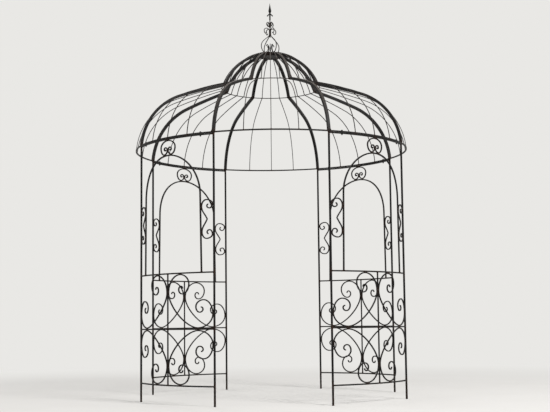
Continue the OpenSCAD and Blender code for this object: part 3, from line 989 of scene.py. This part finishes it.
# ----------------------------------------------------------- finial scrolls
# Four arms of 6 mm square bar stand on the dome's rods. Each curls inwards at
# its foot, rises as the side of the cage, runs up the spear's rod and droops
# outwards in a plume. A leaf of the same bar is tacked to the rod above it.
cage_turn = bay_turn - ROD_SPREAD
cage_w = 0.006
cage_r = 0.101
rod_face = spear_r + TACK_GAP
rod_axis = rod_face + cage_w / 2
cage_foot_r = 0.62 * cage_r
cage_seat = bulb_r + rod_w / 2 + TACK_GAP + cage_w / 2
cage_foot = Vector((cage_foot_r, bulb_z + rod_lift + math.sqrt(cage_seat**2 - cage_foot_r**2)))
NECK_STEPS = 20
LONG_TACK, SHORT_TACK = 0.004, 0.003


def in_finial(reach, share):
    """Place at a share of the cage's radius and of the finial's height."""
    return Vector((reach * cage_r, up_finial(share)))


def on_rod(share):
    """Place of an arm's middle where it lies on the spear's rod."""
    return Vector((rod_axis, up_finial(share)))


cage_side = in_finial(1, 0.135)
cage_top, plume_foot = on_rod(0.375), on_rod(0.455)
leaf_foot, leaf_bend = on_rod(0.520), on_rod(0.580)
foot_curl = [in_finial(0.42, 0.138), in_finial(0.33, 0.172), in_finial(0.21, 0.123)]
cage_line = curled(foot_curl + [cage_foot, cage_side], upright=True)
neck_in = interpolate_bezier(
    cage_side, in_finial(1, 0.25), on_rod(0.315), cage_top, NECK_STEPS
)
cage_line += [Vector(p).xy for p in neck_in[1:]]
plume = [in_finial(0.38, 0.493), in_finial(0.66, 0.438), in_finial(0.49, 0.390)]
plume = [plume_foot] + plume + [in_finial(0.38, 0.413)]
cage_line += straight(cage_top, plume_foot)[1:-1] + curled(plume, upright=True)
leaf = [in_finial(0.23, 0.612), in_finial(0.38, 0.575), in_finial(0.29, 0.545)]
leaf = [leaf_bend] + leaf + [in_finial(0.21, 0.563)]
leaf_line = straight(leaf_foot, leaf_bend)[:-1] + curled(leaf, upright=True)
for arm in range(4):
    turn = cage_turn + arm * math.pi / 2
    arms = bars(
        f"finial_arm_{arm + 1}",
        [cage_line, leaf_line],
        cage_w,
        stood_upright,
        turn,
        finial_enamel,
    )
    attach(arms, "root")
    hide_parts("finial_scrolls")
    for place, step in (
        (cage_top, Vector((0, LONG_TACK))),
        (plume_foot, Vector((0, LONG_TACK))),
        (leaf_foot, Vector((0, SHORT_TACK))),
        (leaf_bend, Vector((0, SHORT_TACK))),
        (cage_foot, Vector((LONG_TACK, 0))),
    ):
        near = rod_face if step.x == 0 else cage_foot_r
        height = place.y if step.x == 0 else place.y - cage_w / 2
        for side in (-cage_w / 2, cage_w / 2):
            ends = [(side, near + s * step.x, height + s * step.y) for s in (-1, 1)]
            seam(turn, ends, wrapped=False)

# -------------------------------------------------------------------- welds
# Every joint is stick welded, in short runs of overlapping ripples that were
# left as they cooled and painted over. Rust creeps out from them into the
# bars, as far as 35 mm.
BEAD_R = 0.0028
BEAD_PITCH = 0.0021
RUST_REACH = 0.035
RUST_FADE = 1.5
bead_tree, given = new_tree(
    "weld_beads_on_seams",
    {
        "Lines": "Object",
        "Bead radius": "Float",
        "Bead pitch": "Float",
        "Seed": "Int",
        "Finish": "Material",
    },
)
runs = add(bead_tree, "GeometryNodeObjectInfo", {"Object": given["Lines"]})
spots = add(
    bead_tree,
    "GeometryNodeResampleCurve",
    {"Curve": runs.outputs["Geometry"], "Length": given["Bead pitch"]},
    mode="LENGTH",
)
blob = add(
    bead_tree,
    "GeometryNodeMeshUVSphere",
    {"Segments": 6, "Rings": 4, "Radius": given["Bead radius"]},
)
melted = add(bead_tree, "GeometryNodeSetShadeSmooth", {0: blob})
# A ripple lies flat across its run, and no two are quite alike.
ripple = add(
    bead_tree,
    "FunctionNodeRandomValue",
    {0: (0.85, 0.85, 0.7), 1: (1.15, 1.15, 0.9), "Seed": given["Seed"]},
    data_type="FLOAT_VECTOR",
)
wobble = add(
    bead_tree,
    "FunctionNodeRandomValue",
    {0: (-0.3, -0.3, 0), 1: (0.3, 0.3, math.tau), "Seed": given["Seed"]},
    data_type="FLOAT_VECTOR",
)
heading = add(bead_tree, "GeometryNodeInputTangent")
along_run = add(bead_tree, "FunctionNodeAlignRotationToVector", {"Vector": heading}, axis="Z")
tilt = add(
    bead_tree,
    "FunctionNodeRotateRotation",
    {0: along_run, 1: wobble},
    rotation_space="LOCAL",
)
ripples = add(
    bead_tree,
    "GeometryNodeInstanceOnPoints",
    {"Points": spots, "Instance": melted, "Rotation": tilt, "Scale": ripple},
)
end_tree(bead_tree, ripples, given["Finish"])

weld_enamel = enamelled_steel(
    "rusty_enamel_on_welds", dark="#0b0a09", pale="#191411", rusty="#2e1f17", chips=0.60
)
seam_lines = drawn("seams", seams)
bead_sizes = {
    "Lines": seam_lines,
    "Bead radius": BEAD_R,
    "Bead pitch": BEAD_PITCH,
    "Seed": 7,
    "Finish": weld_enamel,
}
beads = grown("weld_beads", bead_tree, bead_sizes, seam_lines)
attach(beads, "root")

weld_places = [place for run in seams for place in run]
nearest = KDTree(len(weld_places))
for i, place in enumerate(weld_places):
    nearest.insert(place, i)
nearest.balance()
for piece in scene.objects:
    if piece.type != "MESH" or "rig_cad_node" in piece or piece is beads:
        continue
    creep = piece.data.attributes.new("weld_rust", "FLOAT", "POINT")
    away = [nearest.find(vertex.co)[2] for vertex in piece.data.vertices]
    rusting = [max(0, 1 - distance / RUST_REACH) ** RUST_FADE for distance in away]
    creep.data.foreach_set("value", rusting)

# -------------------------------------------------------------------- bolts
# The dome comes as a kit part, and two M8 bolts a panel hold its ring down on
# the panel's top rail: a hexagon head and washer above, a nut below, in
# blackened steel that has browned.
BOLT_ALONG = 0.367
SPANNER = 0.013
THREAD_R = 0.004
core_r = THREAD_R - 0.0006
# Heights are from the top rail's lower face. Three turns of thread show.
bolt_outline = [(0, -0.0105), (THREAD_R - 0.0008, -0.0105)]
for foot_of_turn in (-0.0100, -0.00875, -0.0075):
    bolt_outline += [(core_r, foot_of_turn), (THREAD_R, foot_of_turn + 0.0006)]
bolt_outline += [(core_r, -0.0064), (core_r, 0.0262), (0, 0.0262)]
shank = turned("bolt_shank", bolt_outline, sides=16)
nut = turned(
    "bolt_nut",
    [(0, -0.0065), (0.0062, -0.0065), (0.0078, -0.0056)]
    + [(0.0078, -0.0009), (0.0062, 0), (0, 0)],
    sides=24,
    across_flats=SPANNER,
)
head = turned(
    "bolt_head",
    [(0, 0.0276), (0.0063, 0.0276), (0.0078, 0.0282)]
    + [(0.0078, 0.0318), (0.0063, 0.0330), (0.0052, 0.0333), (0, 0.0333)],
    sides=24,
    across_flats=SPANNER,
)
washer = turned(
    "bolt_washer",
    [(0, 0.0260), (0.0078, 0.0260), (0.0080, 0.0264), (0.0080, 0.0272)]
    + [(0.0078, 0.0276), (0, 0.0276)],
    sides=24,
)
fasteners = bpy.data.meshes.new("dome_bolt")
places, sheets = [], []
for part in (shank, nut, head, washer):
    first = len(places)
    places += [tuple(v.co) for v in part.vertices]
    sheets += [[first + i for i in face.vertices] for face in part.polygons]
fasteners.from_pydata(places, [], sheets)
fasteners.shade_smooth()
fasteners.set_sharp_from_angle(angle=0.5)
one_bolt = put_up("dome_bolt", fasteners)

bolt_tree, given = new_tree(
    "bolts_at_holes", {"Holes": "Object", "Bolt": "Object", "Seed": "Int", "Finish": "Material"}
)
holes = add(bolt_tree, "GeometryNodeObjectInfo", {"Object": given["Holes"]})
bolt = add(bolt_tree, "GeometryNodeObjectInfo", {"Object": given["Bolt"]})
spun = add(
    bolt_tree,
    "FunctionNodeRandomValue",
    {0: (0, 0, 0), 1: (0, 0, math.pi), "Seed": given["Seed"]},
    data_type="FLOAT_VECTOR",
)
fitted = add(
    bolt_tree,
    "GeometryNodeInstanceOnPoints",
    {
        "Points": holes.outputs["Geometry"],
        "Instance": bolt.outputs["Geometry"],
        "Rotation": spun,
    },
)
end_tree(bolt_tree, fitted, given["Finish"])
hole_places = [
    at(math.radians(degrees) + side * BOLT_ALONG / plan_r, plan_r, 0, top_rail_z)
    for degrees in PANELS.values()
    for side in (-1, 1)
]
hole_mesh = bpy.data.meshes.new("bolt_holes")
hole_mesh.from_pydata(hole_places, [], [])
hole_marks = put_up("bolt_holes", hole_mesh)
bolt_sizes = {"Holes": hole_marks, "Bolt": one_bolt, "Seed": 3, "Finish": weld_enamel}
bolts = grown("dome_bolts", bolt_tree, bolt_sizes, hole_marks)
bpy.data.objects.remove(one_bolt)
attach(bolts, "root")

# --------------------------------------------------------- floor and lights
# A wide, plain, pale floor that keeps the shadows, fades into a background of
# the same colour and throws back no more light than turf. A soft key light
# stands high in front on the right, with weaker ones on the left and behind.
PALE = linear("#e9e8e5")
HALF_FLOOR = 60
FADE_FROM, FADE_TO = 2.2, 7.5
SKYLIGHT = 0.34


def backdrop_rays(tree):
    """1 for a ray that sees the background: from the camera, or off or through
    a bright surface. 0 for one that carries light."""
    path = add(tree, "ShaderNodeLightPath").outputs
    rays = path["Is Camera Ray"]
    for kind in ("Is Glossy Ray", "Is Transmission Ray"):
        rays = add(tree, "ShaderNodeMath", {0: rays, 1: path[kind]}, operation="MAXIMUM")
    return rays


floor_mesh = bpy.data.meshes.new("pale_floor")
floor_corners = [(a * HALF_FLOOR, b * HALF_FLOOR, 0) for a, b in SQUARE[:-1]]
floor_mesh.from_pydata(floor_corners, [], [(0, 1, 2, 3)])
floor = put_up("pale_floor", floor_mesh)
plaster = bpy.data.materials.new("painted_plaster_floor")
plaster.use_nodes = True
tree = plaster.node_tree
tree.nodes.clear()
# Matt painted plaster, with faint clouds about 0.7 m across.
place = add(tree, "ShaderNodeTexCoord").outputs["Object"]
mottle = add(tree, "ShaderNodeTexNoise", {"Vector": place, "Scale": 1.5, "Detail": 3})
clouds = {0: mottle, 6: linear("#dedcd8"), 7: linear("#e4e2df")}
shade = add(tree, "ShaderNodeMix", clouds, data_type="RGBA")
seen = backdrop_rays(tree)
turf = add(tree, "ShaderNodeMix", {0: seen, 6: linear("#4f504c"), 7: shade}, data_type="RGBA")
near = add(tree, "ShaderNodeBsdfDiffuse", {"Color": turf})
far = add(tree, "ShaderNodeEmission", {"Color": PALE, "Strength": 1.0})
distance = add(tree, "ShaderNodeVectorMath", {0: place}, operation="LENGTH")
fade = add(
    tree,
    "ShaderNodeMapRange",
    {0: distance, 1: FADE_FROM, 2: FADE_TO},
    interpolation_type="SMOOTHSTEP",
)
blend = add(tree, "ShaderNodeMath", {0: fade, 1: seen}, operation="MULTIPLY")
mixed = add(tree, "ShaderNodeMixShader", {0: blend, 1: near, 2: far})
add(tree, "ShaderNodeOutputMaterial", {"Surface": mixed})
floor_mesh.materials.append(plaster)

world = bpy.data.worlds.new("pale_studio")
world.use_nodes = True
scene.world = world
tree = world.node_tree
tree.nodes.clear()
lit = add(tree, "ShaderNodeBackground", {"Color": linear("#ffffff"), "Strength": SKYLIGHT})
backdrop = add(tree, "ShaderNodeBackground", {"Color": PALE, "Strength": 1.0})
mixed = add(tree, "ShaderNodeMixShader", {0: backdrop_rays(tree), 1: lit, 2: backdrop})
add(tree, "ShaderNodeOutputWorld", {"Surface": mixed})

AIM = Vector((0, 0, 1.6))
for name, place, side, power in (
    ("key_softbox", (9.0, -11.5, 12.3), 5.0, 3000),
    ("fill_softbox", (-11.5, -8.2, 7.5), 6.5, 485),
    ("back_softbox", (-5.0, 13.0, 11.5), 5.8, 700),
):
    lamp = bpy.data.lights.new(name, "AREA")
    lamp.shape = "SQUARE"
    lamp.size = side
    lamp.energy = power
    softbox = put_up(name, lamp)
    softbox.location = place
    softbox.rotation_euler = (AIM - Vector(place)).to_track_quat("-Z", "Y").to_euler()
